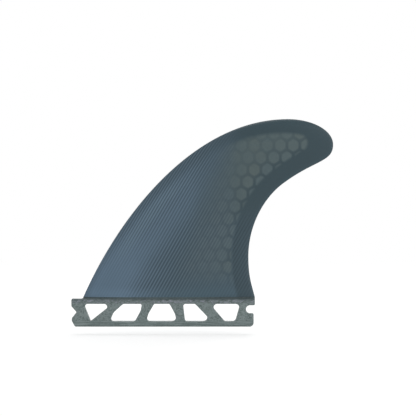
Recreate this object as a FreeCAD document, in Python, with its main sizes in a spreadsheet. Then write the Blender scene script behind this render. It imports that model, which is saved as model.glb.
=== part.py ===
import FreeCAD, Part
import math
import os

# Surfboard side fin with a single base tab.
# Frame: +Z from the tab's foot up to the tip, +X from the leading edge back to the tip, and
# +Y towards the flat inner face. The origin is at the middle of the tab's foot. Millimetres
# and degrees.

SIZES = {
    # Base tab, as it slides into the fin box
    "tab_length": 116.3,
    "tab_depth": 17.6,
    "tab_thickness": 6.6,
    "tab_edge_bevel": 0.6,
    "front_foot_run": 2.0,
    "top_front_overhang": 0.3,
    "front_foot_rounding": 1.4,
    "rear_foot_rounding": 2.6,
    "top_corner_rounding": 0.9,
    # Grub screw notch in the tab's front end, just above the tab's middle
    "notch_rise": 0.4,
    "notch_depth": 3.1,
    "notch_half_height": 3.8,
    "notch_rounding": 0.6,
    "notch_lip_rounding": 0.9,
    "notch_foot_land": 1.8,
    # Retaining pin slot in the tab's rear end, above the tab's middle
    "slot_rise": 2.2,
    "slot_radius": 2.6,
    "slot_depth": 5.75,
    "slot_lip_rounding": 0.9,
    "lower_prong_set_in": 0.8,
    # Windows between the tab's ribs
    "foot_rail": 3.4,
    "top_rail": 3.1,
    "front_land": 8.0,
    "rear_land": 9.4,
    # Collar where the tab flows into the blade
    "collar_height": 1.1,
    "collar_reach": 0.5,
    "collar_front_reach": 1.3,
    # Blade outline, seen from the side
    "blade_height": 113.2,
    "root_setback": 7.2,
    "lead_angle": 66.0,
    "lead_pull": 62.2,
    "crown_front_pull": 56.3,
    "crown_rear_pull": 16.7,
    "crown_setback": 29.1,
    "tip_overhang": 49.7,
    "tip_drop": 16.2,
    "tip_upper_pull": 8.8,
    "tip_lower_pull": 11.4,
    "bend_setback": 32.3,
    "bend_drop": 25.15,
    "bend_angle": 37.1,
    "bend_upper_pull": 25.75,
    "bend_lower_pull": 13.25,
    "waist_set_in": 4.1,
    "waist_rise": 25.6,
    "waist_upper_pull": 21.3,
    "waist_lower_pull": 12.5,
    "heel_angle": 75.5,
    "heel_pull": 8.6,
    # Foil, seen from above
    "root_thickness": 5.3,
    "tip_thickness": 3.2,
    "face_set_in": 0.6,
    "nose_radius": 0.6,
    "trailing_thickness": 0.9,
    "thickest_share": 0.385,
    "crown_fade": 6.5,
    # Tongue under the blade, seated in the tab's groove
    "tongue_depth": 2.0,
    "tongue_thickness": 2.4,
    "tongue_face_inset": 1.0,
    "tongue_front_inset": 13.0,
    "tongue_rear_inset": 31.0,
    "bond_gap": 0.1,
    # Core mat inside the blade
    "core_border": 8.0,
    "core_aft_border": 10.4,
    "core_tip_border": 15.8,
    "core_end_rise": 6.8,
    "core_end_fall": 5.3,
    "core_root_gap": 4.2,
    "core_skin": 0.5,
    "core_web": 0.35,
    "core_pad_height": 0.85,
    "core_pad_set_in": 0.3,
    "cell_pitch": 8.24,
    "cell_row_pitch": 7.75,
    "cell_gap": 1.4,
    "cell_tip_setback": 58.3,
    "cell_tip_drop": 0.4,
}

# Corners of the five windows: share of the way along the window field, whether the corner is
# on the top rail (1) or the foot rail (0), and its rounding.
WINDOWS = {
    "window_1": [(-0.005, 1.0, 1.8), (0.040, 0.0, 0.5), (0.182, 1.0, 1.9)],
    "window_2": [(0.249, 1.0, 1.9), (0.187, 0.51, 6.0), (0.163, 0.0, 1.5),
                 (0.325, 0.0, 1.6), (0.361, 0.59, 8.0), (0.369, 1.0, 1.0)],
    "window_3": [(0.448, 1.0, 1.0), (0.411, 0.44, 6.0), (0.396, 0.0, 1.7),
                 (0.593, 0.0, 2.1), (0.581, 0.44, 6.0), (0.547, 1.0, 1.3)],
    "window_4": [(0.633, 1.0, 1.5), (0.646, 0.0, 1.4), (0.819, 0.0, 2.2), (0.711, 1.0, 1.3)],
    "window_5": [(0.804, 1.0, 2.2), (0.900, 0.0, 1.9), (0.969, 0.0, 2.0), (1.001, 1.0, 2.2)],
}

# Steps of the blade's loft, of its foil curve, and of the collar's flare
BLADE_STEPS = 20
FOIL_STEPS = 6
COLLAR_STEPS = 5
# How far apart the points round the nose lie along the foil curve, as a share of its length
NOSE_STEP = 0.06
# Points taken on each of the outline's curves for the edge of the core, and how far along
# the curves that meet at the tip they are taken
INSET_STEPS = 6
INSET_END = 0.85
# How closely arcs follow the curved edge of the core, in millimetres
ARC_FIT = 0.02
# How much closer together the loft's sections come towards the crown
CROWN_CROWDING = 1.7
# The last section lies this far under the crown, where the outline is level
CROWN_CAP = 0.12
# A cut cell with a smaller share of a whole cell's area is left out of the mat
LEAST_CELL_SHARE = 0.2

doc = FreeCAD.newDocument("surfboard_fin")
sheet = doc.addObject("Spreadsheet::Sheet", "sizes")


def fill_sheet():
    """Put each driving size in a cell of its own, with its name as the alias."""
    for row, (alias, value) in enumerate(SIZES.items(), start=1):
        sheet.set("A%d" % row, alias)
        sheet.set("B%d" % row, str(value))
        sheet.setAlias("B%d" % row, alias)
    doc.recompute()


def size(alias):
    """A driving size as it stands in the sheet."""
    return float(sheet.get(alias))


fill_sheet()

# Levels and stations that several pieces share
half_tab = size("tab_length") / 2
notch_level = size("tab_depth") / 2 + size("notch_rise")
slot_level = size("tab_depth") / 2 + size("slot_rise")
root_level = size("tab_depth") + size("collar_height")
crown_level = root_level + size("blade_height")
inner_face = size("tab_thickness") / 2 - size("face_set_in")


# Sketches and bodies

def new_body(name):
    """An empty body with a name of its own."""
    body = doc.addObject("PartDesign::Body", name)
    body.Label = name
    return body


def new_sketch(body, name, role, geometry, level=None):
    """A sketch on one of the body's own origin planes, raised by an expression on the sheet."""
    plane = next(item for item in body.Origin.OriginFeatures if item.Role == role)
    sketch = body.newObject("Sketcher::SketchObject", name)
    sketch.AttachmentSupport = [(plane, "")]
    sketch.MapMode = "FlatFace"
    sketch.addGeometry(geometry, False)
    if level:
        sketch.setExpression("AttachmentOffset.Base.z", level)
    return sketch


def flat(across, up):
    """A point of a sketch."""
    return FreeCAD.Vector(across, up, 0)


def rounded_outline(corners):
    """A closed outline of straight sides, each corner (across, up, rounding) made an arc."""
    ends = []
    count = len(corners)
    for index, (across, up, rounding) in enumerate(corners):
        corner = flat(across, up)
        before = (flat(*corners[index - 1][:2]) - corner).normalize()
        after = (flat(*corners[(index + 1) % count][:2]) - corner).normalize()
        half_turn = before.getAngle(after) / 2
        reach = rounding / math.tan(half_turn)
        start = corner + before * reach
        finish = corner + after * reach
        middle_way = (before + after).normalize()
        bulge = rounding / math.sin(half_turn) - rounding
        ends.append((start, corner + middle_way * bulge, finish, rounding))
    outline = []
    for index, (start, middle, finish, rounding) in enumerate(ends):
        if rounding > 0:
            outline.append(Part.Arc(start, middle, finish))
        next_start = ends[(index + 1) % count][0]
        if finish.distanceToPoint(next_start) > 1e-6:
            outline.append(Part.LineSegment(finish, next_start))
    return outline


# Blade outline, as four curves up the trailing side and one up the leading side

def bend_along(start, start_way, start_pull, end, end_way, end_pull):
    """The four control points of a curve that leaves and arrives along given directions."""
    return (
        start,
        (start[0] + start_pull * start_way[0], start[1] + start_pull * start_way[1]),
        (end[0] - end_pull * end_way[0], end[1] - end_pull * end_way[1]),
        end,
    )


def direction(degrees):
    """Unit direction at an angle above the level line."""
    return (math.cos(math.radians(degrees)), math.sin(math.radians(degrees)))


def blade_outline():
    """The leading curve, and the trailing curves from the heel up to the crown."""
    up = (0, 1)
    back = (1, 0)
    forward = (-1, 0)
    toe = (-half_tab + size("root_setback"), root_level)
    heel = (half_tab, root_level)
    tip = (half_tab + size("tip_overhang"), crown_level - size("tip_drop"))
    crown = (tip[0] - size("crown_setback"), crown_level)
    bend = (tip[0] - size("bend_setback"), tip[1] - size("bend_drop"))
    waist = (half_tab - size("waist_set_in"), root_level + size("waist_rise"))
    bend_way = direction(size("bend_angle"))
    leading = bend_along(toe, direction(size("lead_angle")), size("lead_pull"),
                         crown, back, size("crown_front_pull"))
    trailing = [
        bend_along(heel, direction(180 - size("heel_angle")), size("heel_pull"),
                   waist, up, size("waist_lower_pull")),
        bend_along(waist, up, size("waist_upper_pull"),
                   bend, bend_way, size("bend_lower_pull")),
        bend_along(bend, bend_way, size("bend_upper_pull"),
                   tip, up, size("tip_lower_pull")),
        bend_along(tip, up, size("tip_upper_pull"),
                   crown, forward, size("crown_rear_pull")),
    ]
    return leading, trailing


def curve_of(points):
    """The curve with these control points, as geometry of a sketch seen from the side."""
    curve = Part.BezierCurve()
    curve.setPoles([flat(*point) for point in points])
    return curve


def across_at(points, level):
    """Where a rising curve crosses a level."""
    curve = curve_of(points)
    low, high = 0.0, 1.0
    for _ in range(60):
        middle = (low + high) / 2
        if curve.value(middle).y < level:
            low = middle
        else:
            high = middle
    return curve.value(high).x


leading_curve, trailing_curves = blade_outline()


# Foil sections, seen from above

def foil_shape(share):
    """Thickness at a share of the chord, as a share of the greatest thickness."""
    thickest = size("thickest_share")
    front_power = 0.5
    rear_power = front_power * (1 - thickest) / thickest
    front = (share / thickest) ** front_power
    rear = ((1 - share) / (1 - thickest)) ** rear_power
    return front * rear


def foil_section(front, rear, inner, thickness, nose, trailing):
    """Flat inner side, one curve round the nose and over the outer side, square trailing edge."""
    cut_back = nose * (1 - math.sqrt(0.5))
    points = [flat(front + nose, inner), flat(front + cut_back, inner - cut_back)]
    stations = [-2 * NOSE_STEP, -NOSE_STEP]
    for step in range(FOIL_STEPS + 1):
        station = step / FOIL_STEPS
        share = station ** 2
        camber = thickness - nose - (trailing - nose) * size("thickest_share")
        depth = nose + camber * foil_shape(share) + (trailing - nose) * share
        points.append(flat(front + (rear - front) * share, inner - depth))
        stations.append(station)
    outer_side = Part.BSplineCurve()
    outer_side.interpolate(Points=points, Parameters=stations)
    inner_rear = flat(rear, inner)
    return [
        Part.LineSegment(inner_rear, points[0]),
        outer_side,
        Part.LineSegment(points[-1], inner_rear),
    ]


def blade_section(level):
    """The foil at one level of the blade; everything thins together under the crown."""
    front = across_at(leading_curve, level)
    trailing = next(curve for curve in trailing_curves if level <= curve[3][1])
    rear = across_at(trailing, level)
    depth_share = min((crown_level - level) / size("crown_fade"), 1.0)
    fade = math.sqrt(1 - (1 - depth_share) ** 2)
    height_share = (level - root_level) / size("blade_height")
    taper = size("tip_thickness") - size("root_thickness")
    thickness = size("root_thickness") + taper * height_share
    inner = inner_face - size("nose_radius") * (1 - fade)
    return foil_section(front, rear, inner, thickness * fade, size("nose_radius") * fade,
                        size("trailing_thickness") * fade)


def collar_section(flare):
    """The blade's foil at the root, grown outwards by a share of the collar's reach."""
    reach = size("collar_reach") * flare
    front = -half_tab + size("root_setback") - size("collar_front_reach") * flare
    return foil_section(front, half_tab, inner_face + reach,
                        size("root_thickness") + 2 * reach, size("nose_radius") + reach,
                        size("trailing_thickness") + 2 * reach)


def tongue_outline(gap):
    """The tongue under the blade seen from above, or with a gap the groove that holds it."""
    front = -half_tab + size("root_setback") + size("tongue_front_inset") - gap
    rear = half_tab - size("tongue_rear_inset") + gap
    inner = inner_face - size("tongue_face_inset") + gap
    outer = inner - size("tongue_thickness") - 2 * gap
    rounding = (inner - outer) / 3
    return rounded_outline([
        (front, outer, rounding), (rear, outer, rounding),
        (rear, inner, rounding), (front, inner, rounding)])


# Base tab

def tab_outline():
    """The tab from the side: foot, pin slot at the rear, top, and screw notch at the front."""
    prong_end = half_tab - size("lower_prong_set_in")
    slot_end = half_tab - size("slot_depth")
    slot_floor = slot_level - size("slot_radius")
    slot_roof = slot_level + size("slot_radius")
    notch_floor = notch_level - size("notch_half_height")
    notch_roof = notch_level + size("notch_half_height")
    top_front = -half_tab - size("top_front_overhang")
    return rounded_outline([
        (-half_tab + size("front_foot_run"), 0, size("front_foot_rounding")),
        (prong_end, 0, size("rear_foot_rounding")),
        (prong_end, slot_floor, size("slot_lip_rounding")),
        (slot_end, slot_floor, size("slot_radius")),
        (slot_end, slot_roof, size("slot_radius")),
        (half_tab, slot_roof, size("slot_lip_rounding")),
        (half_tab, size("tab_depth"), 0),
        (top_front, size("tab_depth"), size("top_corner_rounding")),
        (top_front, notch_roof, size("notch_lip_rounding")),
        (-half_tab + size("notch_depth"), notch_level, size("notch_rounding")),
        (-half_tab, notch_floor, size("notch_lip_rounding")),
        (-half_tab, notch_floor - size("notch_foot_land"), size("front_foot_rounding")),
    ])


def window_outline(corners):
    """One window between the ribs, from its corners' places in the window field."""
    field_start = -half_tab + size("front_land")
    field_length = size("tab_length") - size("front_land") - size("rear_land")
    foot = size("foot_rail")
    rise = size("tab_depth") - size("top_rail") - foot
    return rounded_outline([
        (field_start + along * field_length, foot + up * rise, rounding)
        for along, up, rounding in corners])


def make_base_tab():
    """Moulded tab: padded side view, bevelled rims, windows, collar and groove."""
    body = new_body("base_tab")
    blank = body.newObject("PartDesign::Pad", "tab_blank")
    blank.Profile = new_sketch(body, "tab_side_view", "XZ_Plane", tab_outline())
    blank.SideType = "Symmetric"
    blank.setExpression("Length", "sizes.tab_thickness")
    doc.recompute()

    bevel = body.newObject("PartDesign::Chamfer", "tab_edges")
    half_thickness = size("tab_thickness") / 2
    rims = []
    for number, edge in enumerate(blank.Shape.Edges, start=1):
        box = edge.BoundBox
        on_side = box.YLength < 1e-6 and abs(abs(box.YMin) - half_thickness) < 1e-6
        if on_side:
            rims.append("Edge%d" % number)
    bevel.Base = (blank, rims)
    bevel.setExpression("Size", "sizes.tab_edge_bevel")
    doc.recompute()

    for name, corners in WINDOWS.items():
        window = body.newObject("PartDesign::Pocket", name)
        window.Profile = new_sketch(body, name + "_outline", "XZ_Plane",
                                    window_outline(corners))
        window.Type = "ThroughAll"
        window.SideType = "Symmetric"

    sections = [new_sketch(body, "collar_seat", "XY_Plane", collar_section(1.0),
                           "sizes.tab_depth - sizes.tab_edge_bevel")]
    for step in range(COLLAR_STEPS + 1):
        rise = step / COLLAR_STEPS
        flare = 1 - math.sqrt(1 - (1 - rise) ** 2)
        sections.append(new_sketch(
            body, "collar_%d" % step, "XY_Plane", collar_section(flare),
            "sizes.tab_depth + sizes.collar_height * %r" % rise))
    collar = body.newObject("PartDesign::AdditiveLoft", "collar")
    collar.Profile = sections[0]
    collar.Sections = sections[1:]
    collar.Ruled = True

    groove = body.newObject("PartDesign::Pocket", "groove")
    groove.Profile = new_sketch(body, "groove_outline", "XY_Plane",
                                tongue_outline(size("bond_gap")),
                                "sizes.tab_depth + sizes.collar_height")
    groove.setExpression("Length", "sizes.tongue_depth + sizes.bond_gap")
    body.Tip = groove
    doc.recompute()
    return body


# Core mat

def inset_curve(curves, border, side):
    """A smooth curve at a fixed distance inside some of the blade outline's curves."""
    points = []
    for control_points in curves:
        curve = curve_of(control_points)
        reach = INSET_END if control_points is curves[-1] else 1
        for step in range(INSET_STEPS):
            at = reach * step / INSET_STEPS
            way = curve.tangent(at)[0]
            points.append(curve.value(at) + flat(way.y, -way.x) * side * border)
    inset = Part.BSplineCurve()
    inset.interpolate(Points=points)
    return inset


def hindmost_crossing(curve, level):
    """The rearmost point where a curve crosses a level."""
    line = Part.LineSegment(flat(-half_tab, level), flat(3 * half_tab, level))
    point = max(curve.intersectCC(line), key=lambda crossing: crossing.X)
    return flat(point.X, point.Y)


def core_outline(set_in=0):
    """The mat's edge, or a line set in from it: a border inside the leading edge and crown, a
    wider one inside the trailing edge, a round end near the tip and a level foot."""
    front_side = inset_curve([leading_curve, trailing_curves[3][::-1]],
                             size("core_border") + set_in, 1)
    rear_side = inset_curve(trailing_curves[:3], size("core_aft_border") + set_in, -1)
    foot_level = root_level + size("core_root_gap") + set_in
    tip_across, tip_level = trailing_curves[3][0]
    front_foot = hindmost_crossing(front_side, foot_level)
    rear_foot = hindmost_crossing(rear_side, foot_level)
    front_end = hindmost_crossing(front_side, tip_level + size("core_end_rise"))
    rear_end = hindmost_crossing(rear_side, tip_level - size("core_end_fall"))
    far_end = flat(tip_across - size("core_tip_border") - set_in, tip_level)
    front_side.segment(front_side.parameter(front_foot), front_side.parameter(front_end))
    rear_side.segment(rear_side.parameter(rear_foot), rear_side.parameter(rear_end))
    return (front_side.toBiArcs(ARC_FIT) + [Part.Arc(front_end, far_end, rear_end)]
            + rear_side.toBiArcs(ARC_FIT) + [Part.LineSegment(rear_foot, front_foot)])


def face_of(outline):
    """The flat face inside a closed outline."""
    return Part.Face(Part.Wire(Part.__sortEdges__([side.toShape() for side in outline])))


def straight_sided(face):
    """The face with the same corners and straight sides."""
    corners = [vertex.Point for vertex in face.OuterWire.OrderedVertexes]
    return Part.Face(Part.makePolygon(corners + corners[:1]))


def cell_face(across, level):
    """One hexagonal cell with a point at its top, in the plane of the side view."""
    half_width = (size("cell_pitch") - size("cell_gap")) / 2
    tall = half_width / size("cell_pitch") * size("cell_row_pitch") * 4 / 3
    corners = [(0, tall), (half_width, tall / 2), (half_width, -tall / 2),
               (0, -tall), (-half_width, -tall / 2), (-half_width, tall / 2)]
    points = [flat(across + aside, level + up) for aside, up in corners]
    return Part.Face(Part.makePolygon(points + points[:1]))


def cell_centres():
    """Centres of the cells' lattice, counted from the cell nearest the tip."""
    pitch = size("cell_pitch")
    first_across = half_tab + size("tip_overhang") - size("cell_tip_setback")
    first_level = crown_level - size("tip_drop") - size("cell_tip_drop")
    columns = math.ceil(size("tab_length") / pitch)
    rows = math.ceil(size("blade_height") / size("cell_row_pitch"))
    for row in range(-rows, rows):
        shift = pitch / 2 if row % 2 else 0
        for column in range(-columns, columns):
            yield first_across + column * pitch + shift, first_level + row * size("cell_row_pitch")


def make_hex_core():
    """Core mat: a thin web over the whole core, with hexagonal pads on its outer side."""
    inner_side = "sizes.core_skin + sizes.face_set_in - sizes.tab_thickness / 2"
    body = new_body("core_web")
    web = body.newObject("PartDesign::Pad", "web")
    web.Profile = new_sketch(body, "web_edge", "XZ_Plane", core_outline(), inner_side)
    web.setExpression("Length", "sizes.core_web")

    cell_field = face_of(core_outline(size("core_pad_set_in")))
    whole_cell = cell_face(0, 0)
    cells = []
    for across, level in cell_centres():
        cell = cell_face(across, level).common(cell_field)
        if cell.Area > LEAST_CELL_SHARE * whole_cell.Area:
            pad_face = straight_sided(cell.Faces[0])
            cells.append(pad_face.extrude(FreeCAD.Vector(0, 0, size("core_pad_height"))))
    pads = doc.addObject("Part::Feature", "core_pads")
    pads.Shape = Part.Compound(cells)
    pads.Placement = FreeCAD.Placement(
        FreeCAD.Vector(0, inner_face - size("core_skin") - size("core_web"), 0),
        FreeCAD.Rotation(FreeCAD.Vector(1, 0, 0), 90))

    core = doc.addObject("Part::MultiFuse", "hex_core")
    core.Shapes = [body, pads]
    core.Label = "hex_core"
    doc.recompute()
    return core


# Blade

def make_blade(core):
    """Laminated blade: lofted foil with its tongue, hollow where the core lies."""
    body = new_body("blade_foil")
    loft = body.newObject("PartDesign::AdditiveLoft", "foil")
    sections = []
    for step in range(BLADE_STEPS):
        rise = 1 - (1 - step / BLADE_STEPS) ** CROWN_CROWDING
        level = root_level + size("blade_height") * rise
        sections.append(new_sketch(
            body, "foil_%02d" % step, "XY_Plane", blade_section(level),
            "sizes.tab_depth + sizes.collar_height + sizes.blade_height * %r" % rise))
    sections.append(new_sketch(
        body, "foil_crown", "XY_Plane", blade_section(crown_level - CROWN_CAP),
        "sizes.tab_depth + sizes.collar_height + sizes.blade_height - %r" % CROWN_CAP))
    loft.Profile = sections[0]
    loft.Sections = sections[1:]

    tongue = body.newObject("PartDesign::Pad", "tongue")
    tongue.Profile = new_sketch(body, "tongue_outline", "XY_Plane", tongue_outline(0),
                                "sizes.tab_depth + sizes.collar_height")
    tongue.Reversed = True
    tongue.setExpression("Length", "sizes.tongue_depth")
    body.Tip = tongue

    blade = doc.addObject("Part::Cut", "blade")
    blade.Base = body
    blade.Tool = core
    blade.Label = "blade"
    doc.recompute()
    return blade


def write_parts(parts):
    """Check the whole document and each piece, then write each piece to its own file."""
    for item in doc.Objects:
        if "Invalid" in item.State or "Error" in item.State:
            raise RuntimeError("%s did not build" % item.Label)
    os.makedirs("parts", exist_ok=True)
    for item in parts:
        shape = item.Shape
        if shape.isNull() or not shape.isValid() or len(shape.Solids) != 1:
            raise RuntimeError("%s is not one sound solid" % item.Label)
        shape.exportStep("parts/%s.step" % item.Label)
        print("%-10s %9.1f mm3" % (item.Label, shape.Volume))


base_tab = make_base_tab()
hex_core = make_hex_core()
blade = make_blade(hex_core)
write_parts([base_tab, blade, hex_core])
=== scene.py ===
import math

import bpy
import numpy as np
from bpy.props import FloatProperty, FloatVectorProperty, IntProperty, PointerProperty
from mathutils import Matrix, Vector


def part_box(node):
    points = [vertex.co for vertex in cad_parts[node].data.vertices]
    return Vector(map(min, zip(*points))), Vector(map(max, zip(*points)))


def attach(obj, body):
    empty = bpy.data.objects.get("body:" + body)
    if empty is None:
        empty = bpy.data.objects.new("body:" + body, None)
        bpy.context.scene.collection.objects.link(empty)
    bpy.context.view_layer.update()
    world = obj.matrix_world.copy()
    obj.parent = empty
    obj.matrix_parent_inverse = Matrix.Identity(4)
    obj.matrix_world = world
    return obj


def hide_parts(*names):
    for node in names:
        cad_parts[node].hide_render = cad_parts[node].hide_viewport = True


bl_info = {
    "name": "Surfboard Fin Finish",
    "version": (1, 0, 0),
    "blender": (4, 5, 0),
    "location": "View3D > Sidebar > Fin",
    "description": "Laminated blade, moulded tab and studio for a surfboard side fin",
    "category": "Object",
}

# Surfboard side fin. +Z runs from the tab's foot to the tip, +X from the leading edge back and
# +Y towards the flat inner face. Metres, with the origin at the middle of the tab's foot.

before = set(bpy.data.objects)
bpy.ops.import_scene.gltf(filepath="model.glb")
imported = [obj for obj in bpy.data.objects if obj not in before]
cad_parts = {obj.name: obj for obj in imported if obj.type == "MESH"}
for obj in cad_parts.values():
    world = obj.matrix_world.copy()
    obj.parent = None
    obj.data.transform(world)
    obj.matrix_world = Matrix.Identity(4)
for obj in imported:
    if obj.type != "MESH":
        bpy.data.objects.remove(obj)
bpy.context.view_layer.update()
TAB_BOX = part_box("base_tab")
BLADE_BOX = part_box("blade")
CORE_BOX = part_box("hex_core")

MM = 0.001
HALF_TAB = TAB_BOX[1].x
ROOT_LEVEL = TAB_BOX[1].z
CROWN_LEVEL = BLADE_BOX[1].z
TIP_ACROSS = BLADE_BOX[1].x


def length(millimetres, description):
    """A property that holds a length."""
    return FloatProperty(description=description, default=millimetres * MM, unit="LENGTH",
                         precision=5)


def share(value, description):
    """A property that holds a share or a strength."""
    return FloatProperty(description=description, default=value, subtype="FACTOR")


def angle(degrees, description):
    """A property that holds an angle."""
    return FloatProperty(description=description, default=math.radians(degrees),
                         subtype="ANGLE")


def colour(red, green, blue, description):
    """A property that holds a colour. Its screen levels of 0 to 255 are turned into the linear
    ones that shaders use, by the sRGB curve."""
    def linear(level):
        part = level / 255
        return part / 12.92 if part <= 0.04045 else ((part + 0.055) / 1.055) ** 2.4
    return FloatVectorProperty(description=description, size=3, min=0, max=1, subtype="COLOR",
                               default=(linear(red), linear(green), linear(blue)))


def power(watts, description):
    """A property that holds the power of a lamp."""
    return FloatProperty(description=description, default=watts, unit="POWER")


def whole(value, description):
    """A property that holds a count."""
    return IntProperty(description=description, default=value, min=3)


class FinBladeSizes(bpy.types.PropertyGroup):
    """Outline and foil of the blade"""

    root_setback: length(7.2, "From the tab's front to the leading edge")
    lead_angle: angle(66.0, "Rise of the leading edge at the root")
    lead_pull: length(62.2, "Straightness above the toe")
    crown_front_pull: length(56.3, "How far the crown stays level ahead")
    crown_rear_pull: length(16.7, "How far the crown stays level behind")
    crown_setback: length(29.1, "From the tip forward to the crown")
    tip_drop: length(16.2, "From the crown down to the tip")
    tip_upper_pull: length(8.8, "Roundness of the tip above")
    tip_lower_pull: length(11.4, "Roundness of the tip below")
    bend_setback: length(32.3, "From the tip forward to the bend")
    bend_drop: length(25.15, "From the tip down to the bend")
    bend_angle: angle(37.1, "Slope of the rear edge at the bend")
    bend_upper_pull: length(25.75, "Straightness above the bend")
    bend_lower_pull: length(13.25, "Straightness below the bend")
    waist_set_in: length(4.1, "How far the waist narrows the blade")
    waist_rise: length(25.6, "From the root up to the waist")
    waist_upper_pull: length(21.3, "Straightness above the waist")
    waist_lower_pull: length(12.5, "Straightness below the waist")
    heel_angle: angle(75.5, "Slope of the rear edge at the root")
    heel_pull: length(8.6, "Straightness above the heel")
    face_set_in: length(0.6, "From the tab's inner side to the blade's")
    root_thickness: length(5.3, "Greatest thickness at the root")
    tip_thickness: length(3.2, "Greatest thickness at the tip")
    nose_radius: length(0.6, "Roundness of the leading edge")
    trailing_thickness: length(0.9, "Thickness of the trailing edge")
    thickest_share: share(0.385, "Where along the chord it is thickest")
    crown_fade: length(6.5, "Depth over which the crown thins")
    rows: whole(150, "Rows of the mesh up the blade")
    columns: whole(88, "Columns of the mesh on each face")


class FinCoreSizes(bpy.types.PropertyGroup):
    """Core mat as it shows through the laminate"""

    border: length(8.0, "From the leading edge to the mat")
    aft_border: length(10.4, "From the trailing edge to the mat")
    tip_border: length(15.2, "From the tip to the mat")
    end_rise: length(6.8, "Round end's rise over the tip")
    end_fall: length(5.3, "Round end's drop under the tip")
    lean: share(0.045, "Lean of the upper edge")
    lean_across: length(62, "Where the lean starts, behind the origin")
    front_slope: share(0.36, "Slant of the cloth's rear border")
    cell_pitch: length(8.24, "Distance between neighbouring cells")
    row_pitch: length(7.75, "Distance between rows of cells")
    cell_gap: length(1.7, "Width of the channels between cells")
    cell_roundness: share(0.45, "0 for plain hexagons, 1 for round cells")
    cell_softness: share(0.08, "Softness of the cells, in pitches")
    tip_setback: length(58.3, "From the tip forward to one cell")
    tip_drop: length(0.4, "From the tip down to that cell")


class FinLaminateLook(bpy.types.PropertyGroup):
    """Tint, threads and gloss of the blade"""

    # Cloth behind the leading edge, with a painted sheen on it
    lead_tint_and_sheen: colour(94, 118, 138, "Cloth behind the leading edge")
    crest_highlight_tint: colour(136, 164, 180, "Where the nose catches light")
    body_tint: colour(60, 84, 95, "Cloth over the middle of the blade")
    border_tint: colour(47, 68, 76, "Plain border of the tip and rear")
    cell_tint: colour(77, 95, 100, "Cells of the core seen through resin")
    warm_cell_tint: colour(84, 98, 97, "Cells with less resin on them")
    channel_tint: colour(58, 76, 82, "Resin between the cells")
    thread_tint: colour(29, 51, 62, "Dark threads of the striped cloth")
    glint_tint: colour(102, 122, 138, "Bright threads of the striped cloth")
    drift: length(8, "How far the soft borders wander")
    root_reach: length(7, "Extra reach of the leading tint at the root")
    high_lead: share(0.42, "Leading tint left at the crown")
    warm_cells: share(0.45, "How far the cells differ in warmth")
    cell_shade: share(0.10, "Resin tint over the cells")
    mat_fibres: share(0.60, "Strength of the mat's fibres")
    border_cover: share(0.90, "Cover of the rear border")
    thread_pitch: length(1.812, "Distance between the dark threads")
    thread_rise: angle(60.6, "Slope of the threads seen from the side")
    thread_sway: share(0.20, "How far the threads wander, in pitches")
    thread_wear: share(0.30, "How unevenly the threads show")
    thread_strength: share(0.40, "Strength of the threads")
    front_threads: share(0.27, "Strength gained behind the nose")
    cell_fading: share(0.50, "Strength lost over clear cells")
    root_fading: share(0.40, "Strength lost at the root")
    glints: share(0.50, "Strength of the bright threads")
    front_glints: share(0.08, "Strength gained behind the nose")
    border_fading: share(0.35, "Strength lost in the rear border")
    turn_reach: length(35, "How far back the nose turns away")
    turn_crowding: share(1.45, "Extra threads over that reach")
    # Painted shade in a band along the leading edge
    rim_width: length(8.0, "Darker band along the leading edge")
    low_rim: share(0.40, "Its width low down, as a share")
    low_rim_shade: share(0.20, "Its strength low down")
    high_rim_shade: share(0.65, "Strength gained at the crown")
    mottle: share(0.06, "Fine unevenness of the tint")
    # Painted light on the blade just above the root
    painted_root_light: share(0.12, "How much lighter the root is")
    roughness: share(0.36, "Roughness of the resin surface")
    fine_roughness: share(0.06, "Fine unevenness of the roughness")
    broad_roughness: share(0.10, "Broad unevenness of the roughness")
    relief: length(0.03, "Depth of the surface relief")
    fine_relief: share(0.15, "Share of the fine grain in it")
    thread_relief: share(0.50, "Share of the threads in it")
    channel_relief: share(0.35, "Share of the channels in it")


class FinTabLook(bpy.types.PropertyGroup):
    """Moulded base tab with chopped fibre"""

    resin_tint: colour(106, 120, 119, "Moulding compound")
    fibre_tint: colour(154, 166, 166, "Pale fibres near the surface")
    # Dark resin between fibres, and also the painted shadow under the blade
    resin_and_shade_tint: colour(78, 91, 90, "Resin-rich places between fibres")
    # Pale fibre streaks, also standing in for a painted highlight on the tab's rounded top
    streak_and_highlight_tint: colour(146, 150, 162, "Streaks under the blade's root")
    # Painted shade of the fillet along the blade's root
    root_shade_tint: colour(50, 66, 70, "Dark seam along the blade's root")
    swirl_shade: share(0.60, "Strength of the broad dark swirls")
    grain_shade: share(0.60, "Strength of the small dark places")
    fibre_cover: share(0.60, "Strength of the pale fibres")
    short_fibres: share(0.80, "Strength of the short fibres")
    long_width: share(0.10, "Width of the long curls of fibre")
    short_width: share(0.13, "Width of the short curls of fibre")
    flow_shade: share(0.50, "Strength of dark flow lines")
    flow_light: share(0.75, "Strength of pale flow lines")
    # Strength of the painted shadow under the blade
    band_shade: share(0.50, "Strength of the dark band at the top")
    streak_cover: share(0.95, "Strength of the streaks in that band")
    streak_turn: angle(-17.1887, "Slant of the streaks")
    raggedness: length(1.6, "How uneven the seam's lower edge is")
    mottle: share(0.12, "Fine unevenness of the tint")
    roughness: share(0.50, "Roughness of the moulded surface")
    fine_roughness: share(0.20, "Fine unevenness of the roughness")
    fibre_gloss: share(0.06, "How much smoother the pale fibres are")
    relief: length(0.06, "Depth of the surface relief")
    fine_relief: share(0.40, "Share of the fine grain in it")
    fibre_relief: share(0.60, "Share of the fibres in it")


class FinCoreLook(bpy.types.PropertyGroup):
    """Core mat sealed in the blade"""

    mat_tint: colour(148, 152, 141, "Resin-soaked mat")
    fleck_tint: colour(112, 118, 110, "Darker fibres of the mat")
    along_turn: angle(40.107, "Turn of the fibres up the mat")
    across_turn: angle(11.459, "Turn of the fibres across it")
    roughness: share(0.70, "Roughness of the mat")
    weave_roughness: share(0.15, "How much rougher its fibres are")
    relief: length(0.10, "Height of its fibres")


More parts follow.
